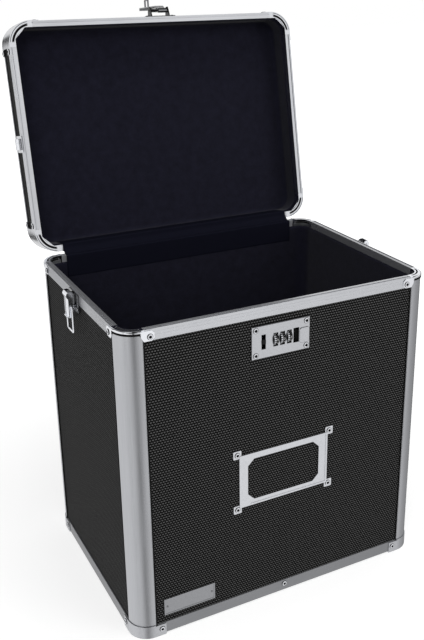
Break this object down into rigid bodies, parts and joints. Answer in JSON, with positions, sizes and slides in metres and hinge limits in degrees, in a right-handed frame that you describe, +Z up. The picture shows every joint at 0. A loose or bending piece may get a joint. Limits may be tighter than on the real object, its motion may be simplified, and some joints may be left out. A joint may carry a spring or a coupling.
{
  "type": "record carrying case",
  "caption": "Aluminium-framed carrying case for long-playing records, with a hinged lid, side draw latches, a dial lock with a hasp, and a label holder.",
  "frame": {"origin": "centre of the case's footprint on the floor, in the plane of the four corner feet", "axes": "+Z up, -Y towards the front with the lock, +X to the right as seen from the front; the lid's hinge is along X at the rear"},
  "size_m": [0.3546, 0.3624, 0.587],
  "materials": {
    "wall_board": "black textured plastic laminate on board",
    "felt": "short black-blue felt",
    "flap_fabric": "black woven strip",
    "aluminium": "satin anodised",
    "chrome": "bright chrome plate",
    "steel": "nickel plated",
    "dial_black": "black moulded",
    "lock_housing": "blackened pressing"
  },
  "bodies": {
    "case": {"front_panel": "wall_board", "rear_panel": "wall_board", "left_panel": "wall_board", "right_panel": "wall_board", "bottom_panel": "wall_board", "wall_lining": "felt", "floor_lining": "felt", "corner_post_front_left": "aluminium", "corner_post_front_right": "aluminium", "corner_post_rear_right": "aluminium", "corner_post_rear_left": "aluminium", "rim_front": "aluminium", "rim_rear": "aluminium", "rim_left": "aluminium", "rim_right": "aluminium", "rim_corners": "chrome", "base_rails": "aluminium", "base_corners": "chrome", "case_rivets": "steel", "label_holder": "chrome", "name_plate": "chrome", "lock_plate": "chrome", "lock_body": "lock_housing", "dial_shaft": "steel", "lock_screws": "steel", "hinge_leaf_case_left": "steel", "hinge_leaf_case_right": "steel", "hinge_pin_left": "steel", "hinge_pin_right": "steel", "latch_plate_left": "chrome", "latch_plate_right": "chrome", "latch_pin_left": "steel", "latch_pin_right": "steel", "hinge_flap": "flap_fabric"},
    "lid": {"lid_panel": "wall_board", "lid_side_boards": "wall_board", "lid_rims": "aluminium", "lid_edge_rails": "aluminium", "lid_corners": "chrome", "lid_lining": "felt", "lid_rivets": "steel", "latch_keeper_left": "chrome", "latch_keeper_right": "chrome", "hasp_base": "chrome", "hasp_pin": "steel", "hasp_spring": "steel", "hinge_leaf_lid_left": "steel", "hinge_leaf_lid_right": "steel"},
    "hasp": {"hasp_arm": "chrome"},
    "latch_lever_left": {"latch_lever_left": "chrome"},
    "latch_lever_right": {"latch_lever_right": "chrome"},
    "latch_bail_left": {"latch_bail_left": "chrome"},
    "latch_bail_right": {"latch_bail_right": "chrome"},
    "dial_1": {"dial_1": "dial_black"},
    "dial_2": {"dial_2": "dial_black"},
    "dial_3": {"dial_3": "dial_black"},
    "release_slider": {"release_slider": "dial_black"},
    "lock_bolt": {"lock_bolt": "steel"}
  },
  "joints": [
    {"name": "lid_hinge", "type": "hinge", "parent": "case", "child": "lid", "pos_m": [0, 0.1239, 0.3305], "axis": [1, 0, 0], "range_deg": [0, 100.9], "deforming": ["hinge_flap"]},
    {"name": "hasp_hinge", "type": "hinge", "parent": "lid", "child": "hasp", "pos_m": [0, 0.18056, 0.57713], "axis": [1, 0, 0], "range_deg": [0, 175.2], "stiffness_Nm_per_rad": 0.004, "springref_deg": -17.19},
    {"name": "latch_lever_left_pivot", "type": "hinge", "parent": "case", "child": "latch_lever_left", "pos_m": [-0.1735, 0.004, 0.3277], "axis": [0, -1, 0], "range_deg": [-100, 0]},
    {"name": "latch_lever_right_pivot", "type": "hinge", "parent": "case", "child": "latch_lever_right", "pos_m": [0.1735, 0.004, 0.3277], "axis": [0, 1, 0], "range_deg": [-100, 0]},
    {"name": "latch_bail_left_pivot", "type": "hinge", "parent": "latch_lever_left", "child": "latch_bail_left", "pos_m": [-0.1729, 0.004, 0.3165], "axis": [0, 1, 0], "range_deg": [0, 185.9]},
    {"name": "latch_bail_right_pivot", "type": "hinge", "parent": "latch_lever_right", "child": "latch_bail_right", "pos_m": [0.1729, 0.004, 0.3165], "axis": [0, -1, 0], "range_deg": [0, 185.9]},
    {"name": "dial_1_turn", "type": "hinge", "parent": "case", "child": "dial_1", "pos_m": [-0.013, -0.1188, 0.2947], "axis": [1, 0, 0], "continuous": true},
    {"name": "dial_2_turn", "type": "hinge", "parent": "case", "child": "dial_2", "pos_m": [-0.0056, -0.1188, 0.2947], "axis": [1, 0, 0], "continuous": true},
    {"name": "dial_3_turn", "type": "hinge", "parent": "case", "child": "dial_3", "pos_m": [0.0018, -0.1188, 0.2947], "axis": [1, 0, 0], "continuous": true},
    {"name": "release_slide", "type": "slide", "parent": "case", "child": "release_slider", "axis": [0, 0, 1], "range_m": [0, 0.005], "stiffness_N_per_m": 150, "springref_m": -0.002},
    {"name": "bolt_slide", "type": "slide", "parent": "case", "child": "lock_bolt", "axis": [1, 0, 0], "range_m": [-0.0022, 0]}
  ],
  "couplings": [
    {"joint": "bolt_slide", "follows": "release_slide", "ratio": -0.44}
  ]
}
